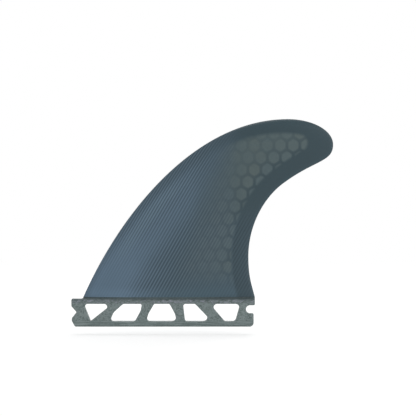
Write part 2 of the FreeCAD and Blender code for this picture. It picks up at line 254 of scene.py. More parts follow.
class FinStageSettings(bpy.types.PropertyGroup):
    """Camera, floor and lamps"""

    view_across: length(28.35, "Middle of the picture behind the origin")
    view_level: length(75.34, "Middle of the picture above the origin")
    view_width: length(264.2, "Width of the picture at the blade")
    view_distance: length(2400, "From the camera to the blade")
    view_elevation: angle(2.5, "How far the camera looks down")
    floor_drop: length(5.3, "From the tab's foot down to the floor")
    floor_size: length(9000, "Width of the floor")
    floor_tint: colour(245, 245, 245, "Floor and backdrop")
    shadow_strength: share(0.72, "How much of the floor's shadow shows")
    floor_glow: share(0.512, "How far the floor is lifted to white")
    shadow_reach: length(400, "Where the floor starts to turn white")
    key_power: power(4.0, "Strength of the front softbox")
    top_power: power(3.0, "Strength of the overhead softbox")
    rear_power: power(4.0, "Strength of the rear softbox")
    ambient: share(0.5, "Strength of the even studio light")


# Sums written with nodes

def sign_method(operation, swapped=False):
    """A method by which one of Python's signs adds a node."""
    def method(term, other):
        terms = (other, term) if swapped else (term, other)
        return term.maker.sum(operation, *terms)
    return method


class Term:
    """A number that comes out of a node and can be used in sums."""

    def __init__(self, maker, socket):
        self.maker = maker
        self.socket = socket

    __add__ = sign_method("ADD")
    __radd__ = sign_method("ADD", swapped=True)
    __sub__ = sign_method("SUBTRACT")
    __rsub__ = sign_method("SUBTRACT", swapped=True)
    __mul__ = sign_method("MULTIPLY")
    __rmul__ = sign_method("MULTIPLY", swapped=True)
    __truediv__ = sign_method("DIVIDE")
    __pow__ = sign_method("POWER")


class Maker:
    """Adds nodes to one node tree."""

    def __init__(self, tree):
        self.tree = tree

    def node(self, kind, inputs=None, **settings):
        """A node of this type, with values or links for its inputs."""
        made = self.tree.nodes.new(kind)
        for name, value in settings.items():
            setattr(made, name, value)
        for name, value in (inputs or {}).items():
            socket = made.inputs[name]
            if isinstance(value, Term):
                value = value.socket
            if isinstance(value, bpy.types.NodeSocket):
                self.tree.links.new(value, socket)
            else:
                socket.default_value = value
        return made

    def term(self, kind, inputs=None, **settings):
        """The same, for a node whose first output goes on into sums."""
        return Term(self, self.node(kind, inputs, **settings).outputs[0])

    def sum(self, operation, *terms):
        return self.term("ShaderNodeMath", dict(enumerate(terms)), operation=operation)

    def clear(self):
        self.tree.nodes.clear()


# Patterns of noise. Even ones have so many waves to a metre, and drawn-out ones have the size of
# a wave in metres along X, Y and Z.
NOISES = {
    "cloud": {"Scale": 28.0, "Detail": 2.0},
    "core fibres": {"Scale": 420.0},
    "sway": {"size": (0.012, 0.012, 0.05), "Detail": 1.0},
    "wear": {"size": (0.004, 0.004, 0.03), "Detail": 2.0},
    "laminate grain": {"Scale": 900.0, "Detail": 4.0},
    "polish": {"size": (0.02, 0.02, 0.003)},
    "swirl": {"Scale": 160.0, "Distortion": 2.4},
    "grain": {"Scale": 620.0, "Detail": 2.0, "Roughness": 0.6, "Distortion": 0.8},
    "moulding grain": {"Scale": 1500.0, "Detail": 4.0, "Roughness": 0.65},
    "long fibres": {"Scale": 230.0, "Detail": 1.0, "Distortion": 2.2},
    "short fibres": {"Scale": 430.0, "Detail": 1.0, "Distortion": 1.2},
    "flow": {"size": (0.0120, 0.0040, 0.0005), "Detail": 2.0},
    "streaks": {"size": (0.0032, 0.0020, 0.0010), "Distortion": 1.6},
    "ragged": {"Scale": 420.0, "Detail": 2.0},
    "mat along": {"size": (0.0006, 0.0006, 0.0030), "Detail": 4.0, "Distortion": 1.5},
    "mat across": {"size": (0.0030, 0.0006, 0.0006), "Detail": 4.0, "Distortion": 1.5},
}
PLAIN_NOISE = {"Scale": 1.0, "Detail": 3.0, "Roughness": 0.55, "Distortion": 0.0}

# Values of noise between which something appears
DARK_GRAIN = (0.54, 0.36)
DARK_FLOW = (0.50, 0.36)
PALE_FLOW = (0.48, 0.64)
STREAKS = (0.50, 0.60)
MAT_FIBRES = (0.45, 0.62)

# Parts of a finish that have soft edges, seen from the side. Each has a strength and some soft
# steps. A step says what it is measured by and, in mm, where the part is nil and where it is full.
PARTS = {
    # Light tint behind the leading edge, partly a painted sheen, and how it changes near the root
    # and low down
    "root end": (1.0, ("level", 45, 30)),
    "lighter cloth and sheen": (1.0, ("lighter cloth and sheen", 44, 14)),
    "low painted sheen": (0.58, ("level", 135, 45)),
    # Painted highlight on the nose of the foil, the duller middle above the clear cells, and the
    # plain tip
    "nose highlight": (0.24, ("lead", 4, 7.5), ("lead", 15.5, 10), ("level", 34, 66), ("level", 98, 82)),
    "dull middle": (0.14, ("level", 56, 72), ("level", 116, 102), ("across", 16, 28),
                    ("across", 55, 46)),
    "tip": (1.0, ("wandering across", 12, 62), ("level", 60, 85)),
    # Core mat: its extent, the clear resin over it, and the tone of its cells
    "upper end": (1.0, ("level", 95, 115)),
    "core": (1.0, ("core depth", -1.4, 1.4), ("behind the cloth", -12, 10), ("level", 22, 40)),
    "clear rear": (1.0, ("trail", 39, 10)),
    "clear end": (0.4, ("level", 95, 115)),
    "clear middle": (0.55, ("trail", 52, 30), ("level", 82, 64)),
    "warm rear": (0.3, ("across", 30, 60)),
    "deep front": (0.15, ("across", 50, 25)),
    "shallow end": (0.15, ("across", 68, 84)),
    "dark channels": (0.8, ("past the border", 6, 1)),
    # Borders and edges, with painted shade on the cut edge
    "rear border": (1.0, ("past the border", 1.6, -1), ("lead", 10, 16)),
    "thin rear": (0.25, ("trail", 3, 0.8)),
    "upper blade": (1.0, ("level", 40, 125)),
    "shaded cut edge": (0.4, ("edge", 0.8, 0.2)),
    # Threads: where they show, and where they are stronger or weaker
    "front cloth": (1.0, ("wandering across", 51, 38)),
    "lower cloth": (1.0, ("level", 78, 62)),
    "strong threads": (0.4, ("wandering lead", 18, 34), ("lead", 70, 45), ("level", 90, 62)),
    "front threads": (1.0, ("lead", 30, 12), ("level", 45, 65), ("across", 36, 20)),
    "low threads": (0.14, ("lead", 32, 20), ("level", 52, 36)),
    "crown threads": (0.14, ("level", 96, 106), ("across", 12, 20), ("across", 38, 26)),
    "border threads": (0.6, ("level", 64, 44)),
    "root": (1.0, ("level", 27, 20)),
    "toe": (0.5, ("lead", 22, 13), ("level", 46, 28)),
    "toe shade": (0.08, ("lead", 22, 13), ("level", 46, 28), ("lead", 4, 9)),
    # Tab: rail along the foot, painted shade in the band and the fillet under the blade, and the
    # foot itself
    "rail": (0.65, ("level", 4.2, 3.4)),
    "band": (1.0, ("level", 14.2, 15.8), ("level", 17.6, 16.8)),
    "root fillet shade": (0.8, ("ragged level", 16.3, 17.5)),
    "foot": (0.3, ("level", 1.6, 0.4)),
}


class Shader(Maker):
    """Adds the nodes of one material, and keeps its tint so far."""

    def __init__(self, name, tint):
        self.tint = tint
        self.material = bpy.data.materials.new(name)
        self.material.use_nodes = True
        super().__init__(self.material.node_tree)
        self.clear()
        self.place = self.node("ShaderNodeTexCoord").outputs["Object"]
        parts = self.node("ShaderNodeSeparateXYZ", {0: self.place})
        self.across, self.depth, self.level = (Term(self, part) for part in parts.outputs)
        self.measures = {"across": self.across, "level": self.level}

    def attribute(self, name):
        """A number stored on the piece's points."""
        node = self.node("ShaderNodeAttribute", attribute_name=name)
        return Term(self, node.outputs["Fac"])

    def rise(self, value, low, high):
        """0 below low and 1 above high, with a soft step between; the other way if low > high."""
        inputs = {"Value": value, "From Min": low, "From Max": high}
        return self.term("ShaderNodeMapRange", inputs, interpolation_type="SMOOTHSTEP")

    def part(self, name):
        """How strongly one of the soft-edged parts shows at each place."""
        shown, *steps = PARTS[name]
        for measure, nil, full in steps:
            shown = shown * self.rise(self.measures[measure], nil * MM, full * MM)
        return shown

    def blend(self, factor, under, over):
        """One colour laid over another."""
        inputs = {0: factor, 6: opaque(under), 7: opaque(over)}
        return self.node("ShaderNodeMix", inputs, data_type="RGBA").outputs[2]

    def lay(self, over, cover):
        """Lay a colour over the tint."""
        self.tint = self.blend(cover, self.tint, over)

    def tune(self, factor):
        """Make the tint lighter or darker by a number that varies."""
        inputs = {0: self.tint, "Scale": factor}
        self.tint = self.node("ShaderNodeVectorMath", inputs, operation="SCALE").outputs[0]

    def stretched(self, size, turn):
        """The piece's place, turned in the side view and squeezed for drawn-out grain."""
        inputs = {"Vector": self.place, "Rotation": (0, turn, 0), "Scale": size}
        return self.node("ShaderNodeMapping", inputs, vector_type="TEXTURE").outputs[0]

    def noise(self, pattern, turn=0.0):
        """Cloudy noise from 0 to 1. A drawn-out pattern can be turned in the side view."""
        inputs = {**PLAIN_NOISE, **NOISES[pattern]}
        size = inputs.pop("size", None)
        inputs["Vector"] = self.stretched(size, turn) if size else self.place
        return self.term("ShaderNodeTexNoise", inputs)

    def surface(self, roughness, height, relief, constants):
        """The shader itself, with a bump from a height of 0 to 1 times the relief."""
        normal = self.node("ShaderNodeBump", {"Distance": relief, "Height": height})
        inputs = {"Base Color": self.tint, "Roughness": roughness,
                  "Normal": normal.outputs[0], **constants}
        shader = self.node("ShaderNodeBsdfPrincipled", inputs)
        self.node("ShaderNodeOutputMaterial", {"Surface": shader.outputs[0]})
        return self.material


def opaque(value):
    """A colour with full cover, or the link as it is."""
    if isinstance(value, bpy.types.NodeSocket):
        return value
    return (*value, 1.0)


# Outline of the blade in the side view

def direction(radians):
    return np.array((math.cos(radians), math.sin(radians)))


def bend_along(start, start_way, start_pull, end, end_way, end_pull):
    """Control points of a curve that leaves and arrives along given directions."""
    return np.array((start, start + start_pull * start_way, end - end_pull * end_way, end))


def points_on(control, stations):
    """Points of a curve at these shares of its run."""
    at = np.asarray(stations)[:, None]
    return ((1 - at) ** 3 * control[0] + 3 * (1 - at) ** 2 * at * control[1]
            + 3 * (1 - at) * at ** 2 * control[2] + at ** 3 * control[3])


# How often the place where a curve crosses a level is narrowed down by half
HALVINGS = 50


def across_at(control, levels):
    """Where a rising curve crosses each level."""
    low = np.zeros(len(levels))
    high = np.ones(len(levels))
    for _ in range(HALVINGS):
        middle = (low + high) / 2
        under = points_on(control, middle)[:, 1] < levels
        low = np.where(under, middle, low)
        high = np.where(under, high, middle)
    return points_on(control, high)[:, 0]


def blade_outline(sizes):
    """The leading curve, and the trailing curves from the heel up to the crown."""
    up = np.array((0.0, 1.0))
    back = np.array((1.0, 0.0))
    toe = np.array((-HALF_TAB + sizes.root_setback, ROOT_LEVEL))
    heel = np.array((HALF_TAB, ROOT_LEVEL))
    tip = np.array((TIP_ACROSS, CROWN_LEVEL - sizes.tip_drop))
    crown = np.array((TIP_ACROSS - sizes.crown_setback, CROWN_LEVEL))
    bend = tip - np.array((sizes.bend_setback, sizes.bend_drop))
    waist = heel + np.array((-sizes.waist_set_in, sizes.waist_rise))
    bend_way = direction(sizes.bend_angle)
    leading = bend_along(toe, direction(sizes.lead_angle), sizes.lead_pull,
                         crown, back, sizes.crown_front_pull)
    trailing = [
        bend_along(heel, direction(math.pi - sizes.heel_angle), sizes.heel_pull,
                   waist, up, sizes.waist_lower_pull),
        bend_along(waist, up, sizes.waist_upper_pull,
                   bend, bend_way, sizes.bend_lower_pull),
        bend_along(bend, bend_way, sizes.bend_upper_pull,
                   tip, up, sizes.tip_lower_pull),
        bend_along(tip, up, sizes.tip_upper_pull,
                   crown, -back, sizes.crown_rear_pull),
    ]
    return leading, trailing


def rear_at(trailing, levels):
    """Where the trailing side crosses each level."""
    across = np.empty(len(levels))
    below = -np.inf
    for curve in trailing:
        here = (levels > below) & (levels <= curve[3][1])
        across[here] = across_at(curve, levels[here])
        below = curve[3][1]
    return across


# How finely the outline is sampled when distances to it are measured, how many points are
# measured in one go, and how far from the tip its inset is looked for, in widths of the border
OUTLINE_STEPS = 160
BATCH = 4000
SEARCH_REACH = 4


def distance_to(curves, places):
    """Shortest distance in the side view from each place to some of the outline's curves."""
    stations = np.linspace(0, 1, OUTLINE_STEPS)
    line = np.concatenate([points_on(curve, stations) for curve in curves])
    found = np.empty(len(places))
    for start in range(0, len(places), BATCH):
        batch = places[start:start + BATCH]
        gaps = np.linalg.norm(batch[:, None, :] - line[None, :, :], axis=2)
        found[start:start + BATCH] = gaps.min(axis=1)
    return found


def circle_through(first, second, third):
    """Centre and radius of the circle through three points."""
    sides = np.array((second - first, third - first)) * 2
    squares = np.array((second @ second - first @ first, third @ third - first @ first))
    centre = np.linalg.solve(sides, squares)
    return centre, np.linalg.norm(centre - first)


def core_depth(places, leading, trailing, lead_gap, trail_gap, sizes, core):
    """How far inside the core's edge each place lies; negative outside it."""
    tip = np.array((TIP_ACROSS, CROWN_LEVEL - sizes.tip_drop))
    far_end = tip - np.array((core.tip_border, 0))
    # The round end meets the two borders where they cross these levels
    upper = inset_crossing([leading, trailing[3]], core.border, tip[1] + core.end_rise, tip)
    lower = inset_crossing(trailing[:3], core.aft_border, tip[1] - core.end_fall, tip)
    centre, radius = circle_through(upper, far_end, lower)
    end_depth = radius - np.linalg.norm(places - centre, axis=1)
    end_depth = np.where(places[:, 0] > centre[0], end_depth, np.inf)
    depth = np.minimum(lead_gap - core.border, trail_gap - core.aft_border)
    depth = np.minimum(depth, places[:, 1] - CORE_BOX[0].z)
    return np.minimum(depth, end_depth)


def inset_crossing(curves, border, level, tip):
    """The place on a level, short of the tip, that is a border away from these curves."""
    across = np.linspace(tip[0] - SEARCH_REACH * border, tip[0] - border, OUTLINE_STEPS)
    places = np.stack((across, np.full(len(across), level)), axis=1)
    gaps = distance_to(curves, places)
    inside = np.nonzero(gaps >= border)[0]
    return places[inside[-1]]


# Blade

def planform_sheet(sizes):
    """Both faces of the blade as one closed sheet that is still flat. Each point knows its
    share of the chord, the chord's length and which face it belongs to."""
    leading, trailing = blade_outline(sizes)
    rows, columns = sizes.rows, sizes.columns
    # The rows lie closer towards the crown, where the outline turns level
    rises = 1 - (1 - np.arange(rows) / rows) ** 2
    levels = ROOT_LEVEL + (CROWN_LEVEL - ROOT_LEVEL) * rises
    front = across_at(leading, levels)
    rear = rear_at(trailing, levels)

    # Once round the section: over the outer face to the rear, and back under the inner face
    turns = np.arange(2 * columns) / columns
    shares = (1 - np.cos(math.pi * turns)) / 2
    outer = (turns < 1).astype(float)
    ring = len(turns)
    chord = np.repeat(rear - front, ring)
    chord_share = np.tile(shares, rows)
    across = np.repeat(front, ring) + chord * chord_share
    level = np.repeat(levels, ring)
    crown = trailing[3][3]

    places = np.stack((across, np.zeros(rows * ring), level), axis=1)
    places = np.concatenate((places, [(crown[0], 0, crown[1])]))
    faces = []
    for row in range(rows - 1):
        for column in range(ring):
            this = row * ring + column
            beside = row * ring + (column + 1) % ring
            faces.append((this, this + ring, beside + ring, beside))
    last = (rows - 1) * ring
    for column in range(ring):
        faces.append((last + column, rows * ring, last + (column + 1) % ring))
    faces.append(tuple(range(ring)))
    mesh = bpy.data.meshes.new("blade")
    mesh.from_pydata(places.tolist(), [], faces)

    # The last point is the crown, on the seam between the faces
    store(mesh, "chord_share", np.append(chord_share, 0.5))
    store(mesh, "chord", np.append(chord, 0.0))
    store(mesh, "outer_face", np.append(np.tile(outer, rows), 0.5))
    return mesh


def store(mesh, name, values):
    """Keep a number on each point of a mesh."""
    attribute = mesh.attributes.new(name, "FLOAT", "POINT")
    attribute.data.foreach_set("value", np.asarray(values, np.float32))


# What the foil takes: sizes of the blade, and where it stands
FOIL_SIZES = ("root_thickness", "tip_thickness", "nose_radius", "trailing_thickness",
              "thickest_share", "crown_fade")
FOIL_PLACES = ("inner_face", "root_level", "crown_level")
# Smallest radius that the foil's round edges are worked out with
LEAST_RADIUS = 1e-6


def foil_tree():
    """Geometry nodes that pad the flat planform out to a foil: flat inner face, round nose,
    cambered outer face, round trailing edge, all thinning away together at the crown."""
    tree = bpy.data.node_groups.new("fin_foil", "GeometryNodeTree")
    tree.interface.new_socket("Geometry", in_out="INPUT", socket_type="NodeSocketGeometry")
    for name in FOIL_SIZES + FOIL_PLACES:
        tree.interface.new_socket(name, in_out="INPUT", socket_type="NodeSocketFloat")
    tree.interface.new_socket("Material", in_out="INPUT", socket_type="NodeSocketMaterial")
    tree.interface.new_socket("Geometry", in_out="OUTPUT", socket_type="NodeSocketGeometry")
    make = Maker(tree)
    given = make.node("NodeGroupInput").outputs
    (root_thickness, tip_thickness, nose_radius, trailing_thickness, thickest,
     crown_fade) = (Term(make, given[name]) for name in FOIL_SIZES)
    inner_face, root_level, crown_level = (Term(make, given[name]) for name in FOIL_PLACES)

    def stored(name):
        return make.term("GeometryNodeInputNamedAttribute", {"Name": name}, data_type="FLOAT")

    def round_over(radius, inward):
        """Drop of a quarter circle at a distance in from the edge."""
        radius = make.sum("MAXIMUM", radius, LEAST_RADIUS)
        short = 1 - make.sum("MINIMUM", inward / radius, 1.0)
        return radius * (1 - make.sum("SQRT", 1 - short * short))

    along, chord, outer = (stored(name) for name in ("chord_share", "chord", "outer_face"))
    place = make.node("GeometryNodeInputPosition").outputs[0]
    level = Term(make, make.node("ShaderNodeSeparateXYZ", {0: place}).outputs["Z"])

    short = 1 - make.sum("MINIMUM", (crown_level - level) / crown_fade, 1.0)
    fade = make.sum("SQRT", 1 - short * short)
    height = (level - root_level) / (crown_level - root_level)
    thickness = (root_thickness + (tip_thickness - root_thickness) * height) * fade
    nose = nose_radius * fade
    trailing = trailing_thickness * fade
    base = inner_face - nose_radius * (1 - fade)
    # Steep at the nose, 1 where the foil is thickest, and running out to the trailing edge
    front_part = (along / thickest) ** 0.5
    rear_part = ((1 - along) / (1 - thickest)) ** ((1 - thickest) / thickest * 0.5)
    camber = thickness - nose - (trailing - nose) * thickest
    depth = nose + camber * front_part * rear_part + (trailing - nose) * along

    nose_drop = round_over(nose, along * chord)
    rear_drop = round_over(trailing * 0.5, (1 - along) * chord)
    inner_side = base - nose_drop - rear_drop
    outer_side = base - depth + rear_drop
    across_blade = inner_side + (outer_side - inner_side) * outer
    offset = make.node("ShaderNodeCombineXYZ", {"Y": across_blade}).outputs[0]
    padded = make.node("GeometryNodeSetPosition",
                       {"Geometry": given["Geometry"], "Offset": offset})
    whole_piece = make.node("GeometryNodeRealizeInstances", {0: padded.outputs[0]})
    finished = make.node("GeometryNodeSetMaterial",
                         {"Geometry": whole_piece.outputs[0], "Material": given["Material"]})
    make.node("NodeGroupOutput", {"Geometry": finished.outputs[0]})
    return tree


def baked(piece):
    """Turn a piece's modifiers into a plain mesh and take them off."""
    bpy.context.view_layer.update()
    seen = piece.evaluated_get(bpy.context.evaluated_depsgraph_get())
    mesh = bpy.data.meshes.new_from_object(seen)
    piece.modifiers.clear()
    piece.data = mesh


def linked(name, mesh):
    """A new object in the scene."""
    piece = bpy.data.objects.new(name, mesh)
    bpy.context.scene.collection.objects.link(piece)
    return piece


# Edges that turn more than this stay crisp
CRISP = math.radians(50)


def make_blade(sizes, core, material):
    """The blade: a foil over the planform, with the distances that its finish follows."""
    piece = linked("laminated_blade", planform_sheet(sizes))
    tree = foil_tree()
    modifier = piece.modifiers.new("foil", "NODES")
    modifier.node_group = tree
    values = {name: getattr(sizes, name) for name in FOIL_SIZES}
    values.update(zip(FOIL_PLACES, (TAB_BOX[1].y - sizes.face_set_in, ROOT_LEVEL, CROWN_LEVEL)))
    values["Material"] = material
    for item in tree.interface.items_tree:
        if item.in_out == "INPUT" and item.name in values:
            modifier[item.identifier] = values[item.name]
    baked(piece)
    mesh = piece.data
    for polygon in mesh.polygons:
        polygon.use_smooth = True
    mesh.set_sharp_from_angle(angle=CRISP)

    points = np.empty(len(mesh.vertices) * 3)
    mesh.vertices.foreach_get("co", points)
    places = points.reshape(-1, 3)[:, (0, 2)]
    leading, trailing = blade_outline(sizes)
    lead_gap = distance_to([leading, trailing[3]], places)
    trail_gap = distance_to(trailing[:3], places)
    store(mesh, "lead_gap", distance_to([leading], places))
    store(mesh, "trail_gap", trail_gap)
    store(mesh, "edge_gap", np.minimum(lead_gap, trail_gap))
    store(mesh, "core_depth", core_depth(places, leading, trailing, lead_gap, trail_gap,
                                         sizes, core))
    return piece


# Materials

def hexagons(shader, core, tip_drop):
    """Distance from the nearest cell's middle, in cell pitches, and that cell's own place."""
    centre_across = TIP_ACROSS - core.tip_setback
    centre_level = CROWN_LEVEL - tip_drop - core.tip_drop
    tall = math.sqrt(3) / 2
    along = (shader.across - centre_across) / core.cell_pitch
    up = (shader.level - centre_level) * (tall / core.row_pitch)

    def wrapped(value, half):
        return shader.sum("WRAP", value, half, -half)

    # The cells' middles lie on two rectangular lattices, half a step apart both ways
    first = (wrapped(along, 0.5), wrapped(up, tall))
    second = (wrapped(along - 0.5, 0.5), wrapped(up - tall, tall))
    first_far = first[0] * first[0] + first[1] * first[1]
    second_far = second[0] * second[0] + second[1] * second[1]
    take_first = shader.sum("LESS_THAN", first_far, second_far)
    aside = second[0] + (first[0] - second[0]) * take_first
    above = second[1] + (first[1] - second[1]) * take_first
    out = shader.sum("ABSOLUTE", aside)
    flats = shader.sum("MAXIMUM", out, out * 0.5 + shader.sum("ABSOLUTE", above) * tall)
    straight = shader.sum("SQRT", aside * aside + above * above)
    rounded = flats + (straight - flats) * core.cell_roundness
    own_place = {"X": along - aside, "Y": up - above}
    return rounded, shader.node("ShaderNodeCombineXYZ", own_place).outputs[0]


def cells(shader, look, core, tip_drop, clear_resin):
    """Tint of the core mat behind the resin, and the channels between its cells."""
    rounded, own_place = hexagons(shader, core, tip_drop)
    half_cell = 0.5 - core.cell_gap / core.cell_pitch / 2
    fill = shader.rise(rounded, half_cell + core.cell_softness, half_cell - core.cell_softness)
    channel = (1 - fill) * clear_resin
    own_tone = shader.term("ShaderNodeTexWhiteNoise", {"Vector": own_place},
                           noise_dimensions="2D")
    tint = shader.blend(own_tone * (shader.part("warm rear") + look.warm_cells),
                        look.cell_tint, look.warm_cell_tint)
    fibres = shader.noise("core fibres") - 0.5
    shade = (fibres * look.mat_fibres + look.cell_shade + shader.part("deep front")
             - shader.part("shallow end"))
    tint = shader.blend(shade, tint, look.channel_tint)
    channel_tint = shader.blend(shader.part("dark channels"), look.channel_tint,
                                look.border_tint)
    return shader.blend(channel, tint, channel_tint), channel


def thread_wave(shader, look, lead_gap):
    """1 on the dark threads and 0 between them. They look closer where the face turns away."""
    way_across = math.sin(look.thread_rise) / look.thread_pitch
    way_up = -math.cos(look.thread_rise) / look.thread_pitch
    turned_away = shader.sum("MAXIMUM", 1 - lead_gap / look.turn_reach, 0.0)
    turned_twice = turned_away * turned_away
    sway = shader.noise("sway", look.thread_rise) - 0.5
    phase = (shader.across * way_across + shader.level * way_up + sway * look.thread_sway
             - turned_twice * turned_twice * look.turn_crowding)
    return shader.sum("SINE", phase * math.tau) * 0.5 + 0.5


# Where the painted shade of the rim is nil and where it is full, in widths of the rim
RIM_NIL = 1.4
RIM_FULL = 0.4


def laminate_material(look, core, tip_drop):
    """Tinted laminate: striped cloth ahead, core cells behind, plain dark border at the rear and
    the tip, under a satin coat of resin, with a painted sheen and highlight behind the leading
    edge and painted shade along its rim."""
    shader = Shader("fin_laminate", look.body_tint)
    part = shader.part
    lead_gap = shader.attribute("lead_gap")
    trail_gap = shader.attribute("trail_gap")
    drift = (shader.noise("cloud") - 0.5) * look.drift
    lean = part("upper end") * (core.lean_across - shader.across) * core.lean
    shader.measures.update({
        "lead": lead_gap,
        "trail": trail_gap,
        "edge": shader.attribute("edge_gap"),
        "past the border": trail_gap - core.aft_border,
        "wandering lead": lead_gap + drift,
        "wandering across": shader.across + drift,
        "behind the cloth": shader.across - shader.level * core.front_slope + drift,
        "lighter cloth and sheen": lead_gap + drift - part("root end") * look.root_reach,
        "core depth": shader.attribute("core_depth") + lean,
    })

    # Broad tint: bluer and lighter behind the leading edge, most of all near the root; the
    # lightness is partly a painted sheen
    shader.lay(look.lead_tint_and_sheen, part("lighter cloth and sheen") * (part("low painted sheen") + look.high_lead))
    # Painted highlight where the nose catches light
    shader.lay(look.crest_highlight_tint, part("nose highlight"))
    shader.lay(look.border_tint, part("tip"))

    # Cells of the core, seen through the skin behind the middle of the chord
    clear_resin = shader.sum("MAXIMUM", part("clear rear"), part("clear end"))
    clear_resin = shader.sum("MAXIMUM", clear_resin, part("clear middle"))
    core_shows = part("core")
    cell_tint, channel = cells(shader, look, core, tip_drop, clear_resin)
    shader.lay(cell_tint, core_shows)

    # Plain border along the trailing edge, a little lighter right at the edge
    rear_border = part("rear border")
    shader.lay(look.border_tint, rear_border * look.border_cover)
    shader.lay(look.body_tint, part("thin rear"))

    # Painted shade in a band along the leading edge, where the foil thins towards it, widest at
    # the crown
    upper = part("upper blade")
    rim_reach = (upper * (1 - look.low_rim) + look.low_rim) * look.rim_width
    painted_rim_shade = shader.rise(lead_gap, rim_reach * RIM_NIL, rim_reach * RIM_FULL)
    shader.lay(look.border_tint, painted_rim_shade * (upper * look.high_rim_shade + look.low_rim_shade))

    # Threads of the cloth
    wave = thread_wave(shader, look, lead_gap)
    cloth = shader.sum("MAXIMUM", part("front cloth"), part("lower cloth"))
    front = part("front threads")
    root = part("root")
    worn = shader.noise("wear", look.thread_rise) - 0.5
    strength = (part("strong threads") + look.thread_strength + front * look.front_threads
                - part("low threads") + part("crown threads"))
    strength = strength * cloth * (1 - part("toe"))
    strength = strength * (1 - core_shows * clear_resin * look.cell_fading)
    strength = strength * (1 + worn * look.thread_wear) * (1 - root * look.root_fading)
    strength = strength * (1 + rear_border * part("border threads"))
    glints = front * look.front_glints + look.glints - rear_border * look.border_fading
    shader.lay(look.body_tint, part("toe shade"))
    shader.lay(look.glint_tint, strength * glints)
    shader.lay(look.thread_tint, wave * strength)
    shader.lay(look.border_tint, part("dull middle"))

    # Painted shade in a thin line along the sanded cut edge of the laminate
    shader.lay(look.border_tint, part("shaded cut edge"))

    fine = shader.noise("laminate grain")
    uneven = fine - 0.5
    polish = shader.noise("polish") - 0.5
    # Fine mottle, and painted light just above the root
    shader.tune(uneven * look.mottle + root * look.painted_root_light + 1)
    roughness = polish * look.broad_roughness + uneven * look.fine_roughness + look.roughness
    height = (fine * look.fine_relief + wave * strength * look.thread_relief
              - core_shows * channel * look.channel_relief)
    return shader.surface(roughness, height, look.relief,
                          {"IOR": 1.5, "Specular IOR Level": 0.3, "Coat Weight": 0.15,
                           "Coat Roughness": 0.16})


def tab_material(look):
    """Moulding compound with chopped fibre that swirls round the windows, and painted shade under
    the blade's root.
    """
    shader = Shader("fin_tab_moulding", look.resin_tint)
    part = shader.part

    def curls(pattern, width):
        """Thin curling lines, as bundles of fibre leave."""
        from_middle = shader.sum("ABSOLUTE", shader.noise(pattern) - 0.5)
        return shader.rise(from_middle, width, 0.0)

    long_curls = curls("long fibres", look.long_width)
    short_curls = curls("short fibres", look.short_width) * look.short_fibres
    pale = shader.sum("MAXIMUM", long_curls, short_curls)
    dark = shader.rise(shader.noise("grain"), *DARK_GRAIN)
    shader.lay(look.resin_and_shade_tint, shader.noise("swirl") * look.swirl_shade)
    shader.lay(look.resin_and_shade_tint, dark * look.grain_shade)
    shader.lay(look.fibre_tint, pale * look.fibre_cover)

    # Level flow lines in the rail along the foot
    flow = shader.noise("flow")
    rail_tint = shader.blend(shader.rise(flow, *DARK_FLOW) * look.flow_shade,
                             look.resin_tint, look.resin_and_shade_tint)
    rail_tint = shader.blend(shader.rise(flow, *PALE_FLOW) * look.flow_light,
                             rail_tint, look.fibre_tint)
    shader.lay(rail_tint, part("rail"))

    # Painted shadow in a band along the top, just under the blade, with pale streaks in it that
    # are fibre and also a painted highlight on the rounded top edge
    band = part("band")
    streaks = band * shader.rise(shader.noise("streaks", look.streak_turn), *STREAKS)
    shader.lay(look.resin_and_shade_tint, band * look.band_shade)
    shader.lay(look.streak_and_highlight_tint, streaks * look.streak_cover)

    # Painted shade of the fillet along the collar, with an uneven lower edge, and a darker foot
    ragged = (shader.noise("ragged") - 0.5) * look.raggedness
    shader.measures["ragged level"] = shader.level + ragged
    shader.lay(look.root_shade_tint, part("root fillet shade"))
    shader.lay(look.resin_and_shade_tint, part("foot"))

    fine = shader.noise("moulding grain")
    uneven = fine - 0.5
    shader.tune(uneven * look.mottle + 1)
    roughness = uneven * look.fine_roughness - pale * look.fibre_gloss + look.roughness
    height = fine * look.fine_relief + pale * look.fibre_relief
    return shader.surface(roughness, height, look.relief,
                          {"IOR": 1.5, "Specular IOR Level": 0.35})


def core_material(look):
    """Resin-soaked fibre mat."""
    shader = Shader("fin_core_mat", look.mat_tint)
    layers = [shader.rise(shader.noise(pattern, turn), *MAT_FIBRES)
              for pattern, turn in (("mat along", look.along_turn),
                                    ("mat across", look.across_turn))]
    weave = (layers[0] + layers[1]) * 0.5
    shader.lay(look.fleck_tint, weave)
    return shader.surface(weave * look.weave_roughness + look.roughness, weave, look.relief,
                          {"IOR": 1.45, "Specular IOR Level": 0.3})


def dress(node, material):
    """Give a node of the frame its finish."""
    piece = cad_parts[node]
    if not piece.material_slots:
        piece.data.materials.append(material)
    for place in piece.material_slots:
        place.material = material


# Stage

def seen_directly(maker):
    """1 for the rays by which the camera, a reflection or a clear piece sees a surface."""
    path = maker.node("ShaderNodeLightPath")
    rays = [Term(maker, path.outputs[name]) for name in
            ("Is Camera Ray", "Is Glossy Ray", "Is Transmission Ray")]
    return maker.sum("MAXIMUM", maker.sum("MAXIMUM", rays[0], rays[1]), rays[2])


